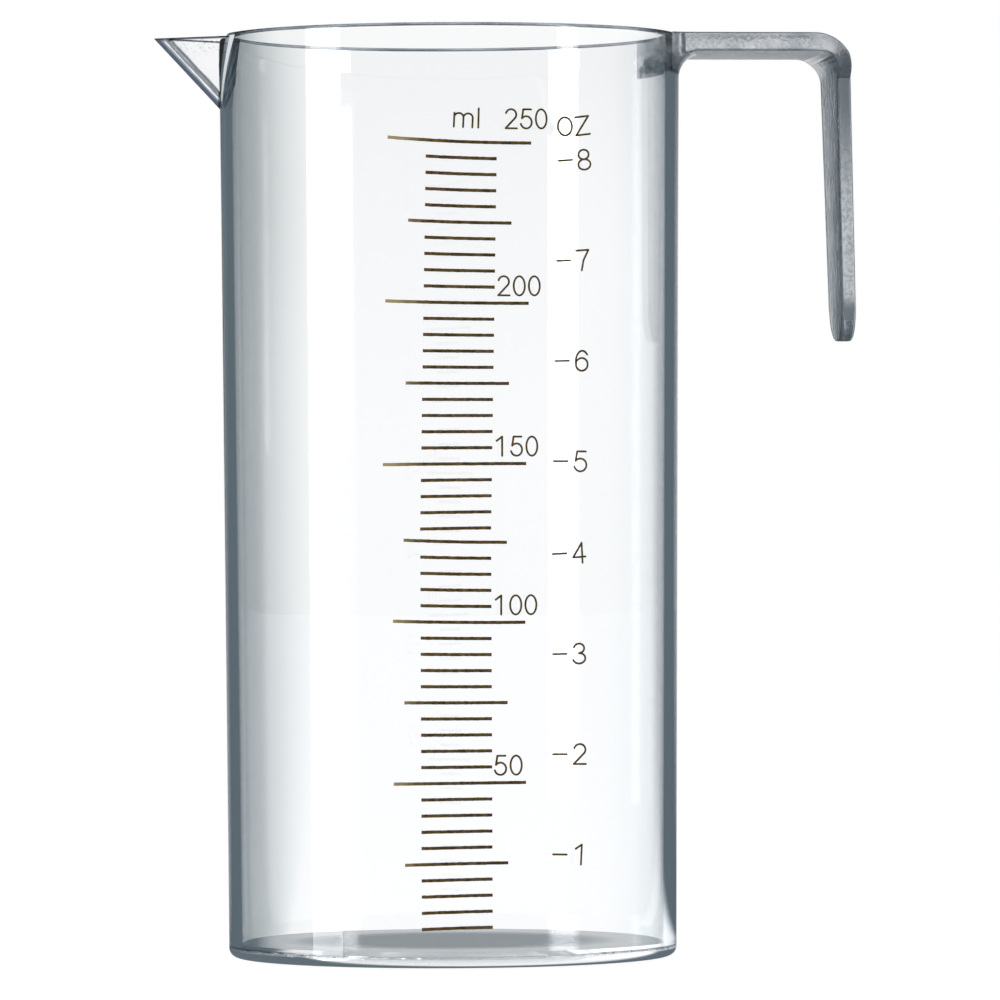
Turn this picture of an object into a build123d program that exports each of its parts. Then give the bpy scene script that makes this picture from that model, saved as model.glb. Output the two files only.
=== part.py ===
from build123d import *
import os
from math import atan2, degrees, hypot, radians, sin, sqrt, tan

# A clear 250 ml resin mixing cup with a V spout, a strap handle and a printed scale.
# All sizes are millimetres and all angles degrees. The origin is the centre of the
# flat underside, +Z is up, +X points at the handle and -X at the spout.

# Barrel
cup_height = 120.0
rim_diameter = 60.0
foot_diameter = 58.4
wall_thickness = 1.7
rim_edge_radius = 0.4

# Base disc
flange_thickness = 1.4
floor_height = 2.0
foot_edge_radius = 1.2

# Pouring spout
spout_reach = 8.8
spout_depth = 9.5
spout_width = 14.0
spout_wall = 1.05
spout_edge_radius = 0.4
lip_drop = 0.45

# Handle
handle_reach = 51.75
handle_drop = 40.0
arm_width = 21.0
arm_thickness = 2.45
leg_top_width = 14.2
leg_end_width = 11.3
leg_end_radius = 5.0
leg_thickness = 1.85
shoulder_clearance = 0.6
bend_radius = 5.2
leg_lean = 1.5
root_fillet_radius = 3.2
root_width = 22.4
handle_edge_radius = 0.35

# Film of cement between the bonded pieces
bond_gap = 0.05

# Printed scale, laid down by a pad in an upper and a lower pass
ink_thickness = 0.06
print_turn = -5.9
top_line_drop = 15.33
bottom_line_height = 5.25
line_pass_gap = 1.84
lines_per_pass = 25
ml_per_line = 5
lines_to_middle = 5
lines_to_long = 10
upper_lean_offset = 0.95
upper_top_bow_height = 0.675
upper_foot_bow_height = -0.2
lower_top_bow_height = 0.38
lower_foot_bow_height = -0.45
bow_centre_offset = 7.5
bow_reach = 15.0

# Lines of the ml scale
line_width = 0.42
short_line_offset = -4.05
short_line_length = 9.0
middle_line_offset = -6.15
middle_line_length = 13.1
long_line_offset = -8.9
long_line_length = 18.2
lower_long_line_offset = -7.55
lower_long_line_length = 16.8

# Numerals and unit mark of the ml scale
stroke_width = 0.25
numeral_height = 2.42
numeral_width = 1.48
numeral_pitch = 2.03
numeral_offset = 5.5
numeral_rise = 1.0
top_numeral_shift = 0.6
header_rise = 1.85
ml_mark_offset = -0.55
ml_mark_width = 2.35
ml_mark_gap = 0.75

# Ounce scale
top_ounce_drop = 17.62
bottom_ounce_height = 14.37
ounce_pass_gap = 11.88
ounces_per_pass = 4
ounce_tilt_ratio = 2.3
dash_offset = 13.48
dash_length = 1.95
ounce_numeral_offset = 16.48
ounce_numeral_height = 2.54
ounce_numeral_width = 1.9
ounce_mark_offset = 13.38
ounce_mark_pitch = 2.62
ounce_mark_height = 2.3
ounce_mark_width = 2.15
ounce_mark_rise = 4.3

# One overrun serves every cut, and points closer than the closeness count as touching
overrun = 5.0
closeness = 0.005

# Sizes that follow from the ones above
rim_radius = rim_diameter / 2
foot_radius = foot_diameter / 2
lip_height = cup_height - lip_drop
leg_end_height = cup_height - handle_drop
arm_underside = cup_height - arm_thickness
arm_foot_height = arm_underside - shoulder_clearance
leg_top_height = cup_height - bend_radius - shoulder_clearance
top_line_height = cup_height - top_line_drop
line_pitch = (top_line_height - bottom_line_height - line_pass_gap) / (2 * (lines_per_pass - 1))
top_ounce_height = cup_height - top_ounce_drop
ounce_span = top_ounce_height - bottom_ounce_height - ounce_pass_gap
ounce_pitch = ounce_span / (2 * (ounces_per_pass - 1))

# Strokes of the marks, as shares of a mark's width and height:
# a line runs through its points, a ring is (middle, half size), and an arc adds its
# start angle and its turn in degrees, anticlockwise when positive.
mark_stroke_shares = {
    "0": [("ring", (0.50, 0.50), (0.50, 0.50))],
    "1": [("line", (0.10, 0.78), (0.58, 1.00), (0.58, 0.00))],
    "2": [
        ("arc", (0.48, 0.72), (0.46, 0.28), 165, -208),
        ("line", (0.816, 0.529), (0.00, 0.00), (1.00, 0.00)),
    ],
    "3": [
        ("arc", (0.46, 0.76), (0.42, 0.24), 165, -255),
        ("arc", (0.46, 0.26), (0.50, 0.26), 90, -255),
    ],
    "4": [
        ("line", (0.74, 0.00), (0.74, 1.00), (0.00, 0.30)),
        ("line", (0.00, 0.30), (1.00, 0.30)),
    ],
    "5": [
        ("line", (0.92, 1.00), (0.22, 1.00), (0.097, 0.526)),
        ("arc", (0.48, 0.32), (0.50, 0.32), 140, -305),
    ],
    "6": [
        ("ring", (0.50, 0.32), (0.48, 0.32)),
        ("arc", (0.55, 0.45), (0.53, 0.55), 40, 155),
    ],
    "7": [("line", (0.00, 1.00), (1.00, 1.00), (0.55, 0.50), (0.36, 0.00))],
    "8": [
        ("ring", (0.50, 0.76), (0.42, 0.24)),
        ("ring", (0.50, 0.26), (0.50, 0.26)),
    ],
    "-": [("line", (0.00, 0.00), (1.00, 0.00))],
    "m": [
        ("line", (0.00, 0.72), (0.00, 0.00)),
        ("arc", (0.25, 0.50), (0.25, 0.22), 180, -180),
        ("line", (0.50, 0.50), (0.50, 0.00)),
        ("arc", (0.75, 0.50), (0.25, 0.22), 180, -180),
        ("line", (1.00, 0.50), (1.00, 0.00)),
    ],
    "l": [("line", (0.00, 0.00), (0.00, 1.00))],
    "o": [("ring", (0.48, 0.50), (0.48, 0.50))],
    "z": [("line", (0.05, 1.00), (1.00, 1.00), (0.00, 0.00), (1.00, 0.00))],
}


def outer_radius(height):
    """Radius of the outside of the wall at a height."""
    return foot_radius + (rim_radius - foot_radius) * height / cup_height


def turned(outline):
    """Solid of revolution of a closed outline of (radius, height) points."""
    return revolve(Plane.XZ * make_face(Polyline(*outline, close=True)), Axis.Z)


def wall_cone(offset=0.0):
    """Solid cone inside the outside of the wall, moved outwards by an offset."""
    low = -overrun
    high = cup_height + overrun
    return turned([(0, low), (outer_radius(low) + offset, low),
                   (outer_radius(high) + offset, high), (0, high)])


def slab(low, high):
    """Wide slab between two heights."""
    side = 2 * (handle_reach + overrun)
    return Pos(0, 0, (low + high) / 2) * Box(side, side, high - low)


# Geometry of the spout: its leading edge climbs from its foot on the wall to its tip

spout_tip = Vector(-rim_radius - spout_reach, 0, lip_height)
spout_foot_height = lip_height - spout_depth
spout_foot = Vector(-outer_radius(spout_foot_height), 0, spout_foot_height)
spout_corner = Vector(-sqrt(rim_radius**2 - (spout_width / 2)**2), spout_width / 2, lip_height)
spout_edge = spout_tip - spout_foot
spout_plane = Plane(spout_foot, x_dir=(0, -1, 0), z_dir=spout_edge)
spout_half_angle = degrees(atan2(spout_width / 2, (spout_corner - spout_foot).dot(spout_plane.y_dir)))


def spout_wedge(depth, edge_radius):
    """Wedge along the leading edge, its own edge a depth inside it and rounded."""
    height = spout_depth + spout_reach
    half_width = height * tan(radians(spout_half_angle))
    corner = make_face(Polyline((0, 0), (half_width, height), (-half_width, height), close=True))
    corner = fillet(corner.vertices().sort_by(Axis.Y)[0], edge_radius)
    return extrude(spout_plane * Pos(0, depth) * corner, spout_edge.length + overrun, both=True)


def spout_hollow():
    """Space between the two sides of the spout, which runs on through the wall."""
    return spout_wedge(spout_wall / sin(radians(spout_half_angle)), spout_edge_radius)


def make_barrel():
    """Tapered tube on the flange, its rim rounded, notched where the spout begins."""
    low = flange_thickness
    section = make_face(Polyline(
        (outer_radius(low) - wall_thickness, low),
        (outer_radius(low), low),
        (rim_radius, cup_height),
        (rim_radius - wall_thickness, cup_height),
        close=True))
    section = fillet(section.vertices().group_by(Axis.Y)[-1], rim_edge_radius)
    return revolve(Plane.XZ * section, Axis.Z) - spout_hollow()


def make_base_disc():
    """Flange with a rounded foot edge under the wall, and a plug inside the wall."""
    plug_radius = outer_radius(flange_thickness) - wall_thickness - bond_gap
    flange = extrude(Circle(outer_radius(flange_thickness)), flange_thickness)
    flange = fillet(flange.edges().group_by(Axis.Z)[0], foot_edge_radius)
    return flange + extrude(Circle(plug_radius), floor_height)


def make_spout():
    """Two flat sides that meet in the leading edge, cut off at the lip and the wall."""
    sides = spout_wedge(0, spout_edge_radius) - spout_hollow()
    return (sides & slab(0, lip_height)) - wall_cone(bond_gap)


def strap_side():
    """Strap seen from the side: level from the cup's axis, then down past its end."""
    foot = leg_end_height - overrun
    slope = tan(radians(leg_lean))
    outer_corner = (handle_reach, cup_height)
    inner_corner = (handle_reach + arm_thickness * slope - leg_thickness, arm_underside)
    outer_foot = (handle_reach + (cup_height - foot) * slope, foot)
    inner_foot = (outer_foot[0] - leg_thickness, foot)
    outline = make_face(Polyline(
        (0, cup_height), outer_corner, outer_foot, inner_foot, inner_corner, (0, arm_underside),
        close=True))
    outline = fillet(outline.vertices().sort_by_distance(outer_corner)[0], bend_radius)
    return fillet(outline.vertices().sort_by_distance(inner_corner)[0], bend_radius - arm_thickness)


def strap_front():
    """Strap seen along +X: the arm, shoulders in the bend, then a tongue with a round end."""
    half = [
        (arm_width / 2, cup_height + overrun),
        (arm_width / 2, arm_foot_height),
        (leg_top_width / 2, leg_top_height),
        (leg_end_width / 2, leg_end_height),
    ]
    other_half = [(-y, z) for y, z in reversed(half)]
    outline = make_face(Polyline(*half, *other_half, close=True))
    return fillet(outline.vertices().group_by(Axis.Y)[0], leg_end_radius)


def on_wall(edge):
    """Whether an edge lies on the outside of the wall, below its rim."""
    points = [edge @ share for share in (0, 0.5, 1)]
    near = [abs(hypot(p.X, p.Y) - outer_radius(p.Z)) < closeness for p in points]
    return all(near) and points[1].X > 0 and points[1].Z < cup_height - closeness


def on_strap_outline(edge):
    """Whether an edge runs along the outline of the strap, clear of its root."""
    middle = edge @ 0.5
    clear_of_root = edge.bounding_box().max.X > rim_radius + 2 * root_fillet_radius
    through_thickness = edge.length < bend_radius and abs((edge % 0.5).X) > 1 - closeness
    across_bend = abs(middle.Y) < closeness and middle.Z > leg_end_height + closeness
    return clear_of_root and not through_thickness and not across_bend


def make_handle():
    """Strap that leaves the rim level, flared to its root width, its outline rounded over."""
    strap = extrude(Plane.XZ * strap_side(), arm_width / 2, both=True)
    strap = strap & extrude(Plane.YZ * strap_front(), handle_reach + overrun)
    rooted = strap + (wall_cone() & slab(0, cup_height))
    rooted = fillet(rooted.edges().filter_by(on_wall), root_fillet_radius)
    root_band = extrude(Rectangle(2 * (handle_reach + overrun), root_width), cup_height + overrun)
    handle = (rooted - wall_cone(bond_gap)) & root_band
    return fillet(handle.edges().filter_by(on_strap_outline), handle_edge_radius)


# The print lies on a flat sheet: x runs round the wall from the middle of the print,
# y is the height, and each column of the sheet is wrapped at its own place.

pass_height = (lines_per_pass - 1) * line_pitch
lower_top_height = bottom_line_height + pass_height
upper_bottom_height = top_line_height - pass_height
pass_boundary = (upper_bottom_height + lower_top_height) / 2
ounce_column = (dash_offset + ounce_numeral_offset + ounce_numeral_width) / 2


def print_point(x, height):
    """Where the pad lays a point of the print, and the tilt of a level line there."""
    if height > pass_boundary:
        share = (height - upper_bottom_height) / pass_height
        lean = upper_lean_offset * max(share, 0)
        bow = upper_foot_bow_height + (upper_top_bow_height - upper_foot_bow_height) * share
    else:
        share = (height - bottom_line_height) / pass_height
        lean = 0
        bow = lower_foot_bow_height + (lower_top_bow_height - lower_foot_bow_height) * share
    away = (x - bow_centre_offset) / bow_reach
    return x + lean, height + bow * away**2, degrees(atan2(2 * bow * away, bow_reach))


def print_line(start, length, height):
    """Printed line that follows the bow of its pass."""
    places = [print_point(start + share * length, height) for share in (0, 0.5, 1)]
    upper = [(x, y + line_width / 2) for x, y, tilt in places]
    lower = [(x, y - line_width / 2) for x, y, tilt in places]
    ends = [Line(upper[0], lower[0]), Line(upper[-1], lower[-1])]
    return make_face([Spline(*upper), Spline(*lower), *ends])


def stroke(kind, *shares, width, height):
    """One stroke of a mark, with round ends and round corners."""
    if kind == "line":
        points = [(x * width, y * height) for x, y in shares]
        paths = [Line(start, end) for start, end in zip(points, points[1:])]
    else:
        (x, y), (half_width, half_height) = shares[:2]
        middle = (x * width, y * height)
        radii = (half_width * width, half_height * height)
        if kind == "ring":
            outside = Ellipse(radii[0] + stroke_width / 2, radii[1] + stroke_width / 2)
            inside = Ellipse(radii[0] - stroke_width / 2, radii[1] - stroke_width / 2)
            return Pos(*middle) * (outside - inside)
        paths = [EllipticalCenterArc(middle, *radii, start_angle=shares[2], arc_size=shares[3])]
    ends = [paths[0] @ 0] + [path @ 1 for path in paths]
    dots = [Pos(end.X, end.Y) * Circle(stroke_width / 2) for end in ends]
    return Sketch() + [trace(path, stroke_width) for path in paths] + dots


def print_mark(mark, x, height, size, tilt_ratio=1):
    """Printed digit, letter or dash, its lower left corner at a place on the sheet."""
    strokes = [stroke(*parts, width=size[0], height=size[1]) for parts in mark_stroke_shares[mark]]
    place_x, place_height, tilt = print_point(x, height)
    return Pos(place_x, place_height) * Rot(0, 0, tilt_ratio * tilt) * (Sketch() + strokes)


def wrap(faces, column):
    """Film of ink in the shape of flat faces, laid on the wall round one column."""
    turn = degrees(column / rim_radius) + print_turn
    sheet = Plane(Vector(0, 0, 0), x_dir=(1, 0, 0), z_dir=(0, -1, 0)).rotated((0, 0, turn))
    flat = Sketch() + [Pos(-column, 0) * face for face in faces]
    film = wall_cone(ink_thickness) - wall_cone()
    return film & extrude(sheet * flat, rim_radius + overrun)


def line_height(line):
    """Height of a line by its number from the bottom."""
    if line <= lines_per_pass:
        return bottom_line_height + (line - 1) * line_pitch
    return top_line_height - (2 * lines_per_pass - line) * line_pitch


def line_kind(line):
    """Kind of a line by its number from the bottom."""
    if line % lines_to_long == 0:
        return "long"
    if line % lines_to_middle == 0:
        return "middle"
    return "short"


def ml_lines(kind):
    """All lines of one kind."""
    spans = {
        "long": (long_line_offset, long_line_length),
        "middle": (middle_line_offset, middle_line_length),
        "short": (short_line_offset, short_line_length),
    }
    faces = []
    for line in range(1, 2 * lines_per_pass + 1):
        if line_kind(line) == kind:
            span = spans[kind]
            if kind == "long" and line <= lines_per_pass:
                span = (lower_long_line_offset, lower_long_line_length)
            faces.append(print_line(*span, line_height(line)))
    return wrap(faces, 0)


def ml_numerals():
    """Numerals of the long lines, each just above its line."""
    size = (numeral_width, numeral_height)
    top_line = 2 * lines_per_pass
    faces = []
    for line in range(lines_to_long, top_line + 1, lines_to_long):
        x = numeral_offset + (top_numeral_shift if line == top_line else 0)
        height = line_height(line) + (header_rise if line == top_line else numeral_rise)
        for index, digit in enumerate(str(line * ml_per_line)):
            faces.append(print_mark(digit, x + index * numeral_pitch, height, size))
    return wrap(faces, numeral_offset + numeral_pitch + numeral_width / 2)


def ml_mark():
    """Unit mark of the ml scale, above its top line."""
    height = top_line_height + header_rise
    size = (ml_mark_width, numeral_height)
    faces = [
        print_mark("m", ml_mark_offset, height, size),
        print_mark("l", ml_mark_offset + ml_mark_width + ml_mark_gap, height, size),
    ]
    return wrap(faces, 0)


def ounce_heights():
    """Heights of the ounce dashes by number."""
    heights = {}
    for step in range(ounces_per_pass):
        heights[step + 1] = bottom_ounce_height + step * ounce_pitch
        heights[2 * ounces_per_pass - step] = top_ounce_height - step * ounce_pitch
    return heights


def ounce_dashes():
    """Dash of each ounce."""
    size = (dash_length, 0)
    return wrap([
        print_mark("-", dash_offset, height, size, ounce_tilt_ratio)
        for height in ounce_heights().values()
    ], ounce_column)


def ounce_numerals():
    """Numeral of each ounce, level with its dash."""
    size = (ounce_numeral_width, ounce_numeral_height)
    return wrap([
        print_mark(str(ounce), ounce_numeral_offset, height - size[1] / 2, size, ounce_tilt_ratio)
        for ounce, height in ounce_heights().items()
    ], ounce_column)


def ounce_mark():
    """Unit mark of the ounce scale, above its top dash."""
    size = (ounce_mark_width, ounce_mark_height)
    height = top_ounce_height + ounce_mark_rise - size[1] / 2
    return wrap([
        print_mark(mark, ounce_mark_offset + index * ounce_mark_pitch, height, size, ounce_tilt_ratio)
        for index, mark in enumerate("oz")
    ], ounce_column)


nodes = {
    "barrel": make_barrel(),
    "base_disc": make_base_disc(),
    "pouring_spout": make_spout(),
    "handle": make_handle(),
    "ml_long_lines": ml_lines("long"),
    "ml_middle_lines": ml_lines("middle"),
    "ml_short_lines": ml_lines("short"),
    "ml_numerals": ml_numerals(),
    "ml_mark": ml_mark(),
    "oz_dashes": ounce_dashes(),
    "oz_numerals": ounce_numerals(),
    "oz_mark": ounce_mark(),
}

os.makedirs("parts", exist_ok=True)
for name, shape in nodes.items():
    export_step(shape, f"parts/{name}.step")
    print(name, len(shape.solids()), round(shape.volume, 3))
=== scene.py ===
import math

import bmesh
import bpy
from bpy.props import FloatProperty, FloatVectorProperty, IntProperty, PointerProperty
from mathutils import Matrix, Vector


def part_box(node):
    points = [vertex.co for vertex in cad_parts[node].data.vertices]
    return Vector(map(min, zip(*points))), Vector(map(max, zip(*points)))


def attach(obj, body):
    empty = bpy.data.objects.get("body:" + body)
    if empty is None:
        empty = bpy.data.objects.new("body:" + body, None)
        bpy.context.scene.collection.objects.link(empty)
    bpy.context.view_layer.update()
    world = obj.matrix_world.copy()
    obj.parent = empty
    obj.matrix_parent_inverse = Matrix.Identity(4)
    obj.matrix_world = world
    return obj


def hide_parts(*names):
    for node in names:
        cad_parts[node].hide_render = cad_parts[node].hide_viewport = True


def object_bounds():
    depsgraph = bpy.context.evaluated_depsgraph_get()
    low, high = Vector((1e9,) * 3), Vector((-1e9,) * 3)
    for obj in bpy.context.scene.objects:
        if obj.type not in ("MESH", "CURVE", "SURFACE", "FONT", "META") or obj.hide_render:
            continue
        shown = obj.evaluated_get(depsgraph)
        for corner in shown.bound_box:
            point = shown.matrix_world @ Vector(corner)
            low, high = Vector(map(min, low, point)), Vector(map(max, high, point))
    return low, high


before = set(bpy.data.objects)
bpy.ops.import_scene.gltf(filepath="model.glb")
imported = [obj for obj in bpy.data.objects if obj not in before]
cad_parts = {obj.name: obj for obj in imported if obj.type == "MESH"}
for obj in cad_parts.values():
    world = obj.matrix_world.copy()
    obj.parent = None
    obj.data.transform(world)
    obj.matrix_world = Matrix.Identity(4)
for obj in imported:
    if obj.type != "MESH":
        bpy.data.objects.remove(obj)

bl_info = {
    "name": "Resin mixing cup",
    "version": (1, 0, 0),
    "blender": (4, 5, 0),
    "location": "3D View > Sidebar > Mixing Cup",
    "description": "Clear 250 ml mixing cup with a V spout, a strap handle and a printed scale",
    "category": "Object",
}

# The CAD model's box, and the corners of its main nodes that the pieces need, in metres
cad_low, cad_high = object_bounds()
barrel_low, barrel_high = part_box("barrel")
base_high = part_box("base_disc")[1]
spout_low, spout_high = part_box("pouring_spout")
handle_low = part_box("handle")[0]

# The view of the photograph, in its own pixels and in metres
photo_side_px = 1000
axis_px = 451
view_azimuth = math.radians(-6.5)
roll = math.radians(0.25)
eye_height = 0.0594
eye_distance = 1.0136
metres_per_px = 0.0001305
sensor_width = 36.0

# The printed scale: 50 lines in two passes of the printing pad
line_count = 50
lines_per_pass = 25
lines_to_middle = 5
lines_to_long = 10
first_seed = 3.0

# Each kind of line: its number, then where it begins and how long it is, in the lower and the
# upper pass, in metres from the middle of the sheet
line_kinds = {
    "ml_short_lines": (0, (-0.00405, -0.00405), (0.0090, 0.0090)),
    "ml_middle_lines": (1, (-0.00615, -0.00615), (0.0131, 0.0131)),
    "ml_long_lines": (2, (-0.00755, -0.0089), (0.0168, 0.0182)),
}

# Smallest distances of the mesh work, in metres, and the angles past which an edge stays sharp
merge_distance = 1e-7
seam_distance = 1e-6
face_margin = 0.00001
clear_sharp_angle = math.radians(25)
print_sharp_angle = math.radians(40)


class CupSizes(bpy.types.PropertyGroup):
    """Sizes of the clear pieces."""

    wall: FloatProperty(
        name="Wall", description="Thickness of the wall", default=0.0017, unit="LENGTH")
    taper: FloatProperty(
        name="Taper", description="How much the radius grows for each unit of height",
        default=0.0008 / 0.120)
    spout_wall: FloatProperty(
        name="Spout wall", description="Thickness of the spout's two sides", default=0.00105,
        unit="LENGTH")
    rim_edge: FloatProperty(
        name="Rim edge", description="Radius of the rim's two edges", default=0.0004, unit="LENGTH")
    foot_edge: FloatProperty(
        name="Foot edge", description="Radius of the foot's edge", default=0.0012, unit="LENGTH")
    bond: FloatProperty(
        name="Bond", description="Depth by which bonded pieces reach into each other",
        default=0.00003, unit="LENGTH")
    leg_top: FloatProperty(
        name="Leg top", description="Height at which the handle's bend has ended", default=0.1125,
        unit="LENGTH")
    steps: IntProperty(
        name="Steps", description="Steps round the axis of a turned piece", default=360)


class PrintSizes(bpy.types.PropertyGroup):
    """Sizes of the printed lines, measured on the flat sheet of the print."""

    turn: FloatProperty(
        name="Turn", description="Turn of the print round the axis",
        default=math.radians(-5.9), subtype="ANGLE")
    top_line: FloatProperty(
        name="Top line", description="Height of the 250 ml line", default=0.10467, unit="LENGTH")
    bottom_line: FloatProperty(
        name="Bottom line", description="Height of the 5 ml line", default=0.00525, unit="LENGTH")
    pitch: FloatProperty(
        name="Pitch", description="Distance between two lines", default=0.0020329, unit="LENGTH")
    width: FloatProperty(
        name="Width", description="Width of a line", default=0.00040, unit="LENGTH")
    film: FloatProperty(
        name="Film", description="Thickness of the ink", default=0.00005, unit="LENGTH")
    raggedness: FloatProperty(
        name="Raggedness", description="How far the edge of a line wanders",
        default=0.00016, unit="LENGTH")
    lean: FloatProperty(
        name="Lean", description="How far the top line is shifted to the right",
        default=0.00095, unit="LENGTH")
    bow_centre: FloatProperty(
        name="Bow centre", description="Where the bowed lines lie level", default=0.0075,
        unit="LENGTH")
    bow_reach: FloatProperty(
        name="Bow reach", description="Distance over which a line bows by its bow height",
        default=0.015, unit="LENGTH")
    upper_bows: FloatVectorProperty(
        name="Upper bows", description="Bow of the lowest and the topmost line of the upper pass",
        default=(-0.0002, 0.000675), size=2, unit="LENGTH")
    lower_bows: FloatVectorProperty(
        name="Lower bows", description="Bow of the lowest and the topmost line of the lower pass",
        default=(-0.00045, 0.00038), size=2, unit="LENGTH")
    worn_from: FloatProperty(
        name="Worn from", description="Place on a line, left of the middle, where wear begins",
        default=-0.0030, unit="LENGTH")
    worn_to: FloatProperty(
        name="Worn to", description="Place on a line where the ink is worn thin",
        default=-0.0088, unit="LENGTH")


class FinishColors(bpy.types.PropertyGroup):
    """Colours of the plastic and the ink."""

    clear: FloatVectorProperty(
        name="Clear", description="Clear plastic where it faces the eye",
        default=(0.985, 0.99, 0.993), subtype="COLOR", size=3)
    # Painted shade of the clear plastic where it is seen edge on
    clear_edge_shade: FloatVectorProperty(
        name="Clear edge", description="Clear plastic seen edge on",
        default=(0.85, 0.88, 0.9), subtype="COLOR", size=3)
    # Slate colours of the rim: painted shade for the light trapped in its rounded edges
    slate_dark: FloatVectorProperty(
        name="Slate dark", description="Darkest colour of the rim",
        default=(0.05, 0.06, 0.075), subtype="COLOR", size=3)
    slate_pale: FloatVectorProperty(
        name="Slate pale", description="Palest colour of the rim",
        default=(0.20, 0.23, 0.26), subtype="COLOR", size=3)
    handle_dark: FloatVectorProperty(
        name="Handle dark", description="Dark clouds in the handle",
        default=(0.28, 0.31, 0.34), subtype="COLOR", size=3)
    handle_pale: FloatVectorProperty(
        name="Handle pale", description="Pale clouds in the handle",
        default=(0.72, 0.74, 0.77), subtype="COLOR", size=3)
    ink: FloatVectorProperty(
        name="Ink", description="Ink where it is thick",
        default=(0.045, 0.028, 0.011), subtype="COLOR", size=3)
    ink_thin: FloatVectorProperty(
        name="Ink thin", description="Ink in the pale grains of a mark",
        default=(0.16, 0.10, 0.035), subtype="COLOR", size=3)
    ink_worn: FloatVectorProperty(
        name="Ink worn", description="Golden ink at the worn ends of the long lines",
        default=(0.46, 0.36, 0.17), subtype="COLOR", size=3)


class StudioLook(bpy.types.PropertyGroup):
    """Light and colours of the studio."""

    background: FloatVectorProperty(
        name="Background", description="Colour of the floor and the world",
        default=(1.0, 1.0, 1.0), subtype="COLOR", size=3)
    floor: FloatVectorProperty(
        name="Floor", description="Glow of the floor, to which the lamps add their light",
        default=(0.9, 0.9, 0.9), subtype="COLOR", size=3)
    surroundings: FloatVectorProperty(
        name="Surroundings", description="Colour of the dim studio that reflections show",
        default=(0.12, 0.155, 0.18), subtype="COLOR", size=3)
    front: FloatVectorProperty(
        name="Front", description="Colour of the studio's pale front in reflections",
        default=(0.9, 0.92, 0.93), subtype="COLOR", size=3)
    side: FloatVectorProperty(
        name="Side", description="Colour of the bright wall on the right in reflections",
        default=(1.4, 1.44, 1.48), subtype="COLOR", size=3)
    ambient: FloatVectorProperty(
        name="Ambient", description="Colour of the studio as it lights matt surfaces",
        default=(0.6, 0.62, 0.64), subtype="COLOR", size=3)
    strip_power: FloatProperty(
        name="Strip power", description="Power of the tall light on the left", default=3.6)
    side_power: FloatProperty(
        name="Side power", description="Power of the soft light on the right", default=1.2)


class Tree:
    """A node tree under construction: each call adds a node and sets or links its inputs."""

    def __init__(self, nodes, links):
        self.nodes = nodes
        self.links = links

    def add(self, kind, sockets=None, **settings):
        node = self.nodes.new(kind)
        for name, value in settings.items():
            setattr(node, name, value)
        for key, value in (sockets or {}).items():
            if isinstance(value, bpy.types.NodeSocket):
                self.links.new(value, node.inputs[key])
            else:
                node.inputs[key].default_value = value
        return node

    def math(self, operation, *values):
        sockets = dict(enumerate(values))
        return self.add("ShaderNodeMath", sockets, operation=operation).outputs[0]

    def span(self, value, low, high, to_low=0.0, to_high=1.0, smooth=False):
        """Value mapped from one span to another, and held at its ends when smooth."""
        kind = "SMOOTHSTEP" if smooth else "LINEAR"
        return self.add("ShaderNodeMapRange", {
            "Value": value, "From Min": low, "From Max": high, "To Min": to_low, "To Max": to_high},
            interpolation_type=kind, clamp=smooth).outputs[0]

    def vector_math(self, operation, *values):
        sockets = dict(enumerate(values))
        return self.add("ShaderNodeVectorMath", sockets, operation=operation).outputs

    def parts(self, vector):
        return self.add("ShaderNodeSeparateXYZ", {0: vector}).outputs

    def mix(self, share, first, second, blend="MIX"):
        """Colour between two others, which the Mix node keeps in its sockets 6 and 7."""
        return self.add("ShaderNodeMix", {"Factor": share, 6: first, 7: second},
                        data_type="RGBA", blend_type=blend).outputs[2]

    def ramp(self, share, first, last, *between):
        """Colour ramp through (position, colour) stops."""
        node = self.add("ShaderNodeValToRGB", {"Fac": share})
        stops = node.color_ramp.elements
        for index, (position, color) in enumerate((first, last)):
            stops[index].position = position
            stops[index].color = color
        for position, color in between:
            stops.new(position).color = color
        return node.outputs[0]

    def object_place(self):
        return self.add("ShaderNodeTexCoord").outputs["Object"]

    def grain(self, place, scale, detail, roughness, low=0.0, high=1.0, dark=(0, 0, 0),
              pale=(1, 1, 1)):
        """The shared grain, placed with its own values: its Color and Height sockets."""
        return self.add("ShaderNodeGroup", {
            "Vector": place, "Scale": scale, "Detail": detail, "Roughness": roughness, "Low": low,
            "High": high, "Dark": (*dark, 1), "Pale": (*pale, 1)}, node_tree=grain_group()).outputs

    def surface(self, **sockets):
        """Principled surface, given to the material's output."""
        inputs = {name.replace("_", " "): value for name, value in sockets.items()}
        shader = self.add("ShaderNodeBsdfPrincipled", inputs)
        self.add("ShaderNodeOutputMaterial", {"Surface": shader.outputs[0]})


def geometry_tree(name, inputs):
    """New Geometry Nodes tree with named inputs, its group input's sockets and its Tree."""
    group = bpy.data.node_groups.new(name, "GeometryNodeTree")
    group.interface.new_socket("Geometry", in_out="OUTPUT", socket_type="NodeSocketGeometry")
    for label, kind in inputs.items():
        group.interface.new_socket(label, in_out="INPUT", socket_type=f"NodeSocket{kind}")
    tree = Tree(group.nodes, group.links)
    return group, tree, tree.add("NodeGroupInput").outputs


def close_tree(tree, geometry, material):
    """Ends a Geometry Nodes tree in Realize Instances and Set Material."""
    real = tree.add("GeometryNodeRealizeInstances", {"Geometry": geometry})
    dressed = tree.add("GeometryNodeSetMaterial", {
        "Geometry": real.outputs[0], "Material": material})
    tree.add("NodeGroupOutput", {"Geometry": dressed.outputs[0]})


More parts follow.
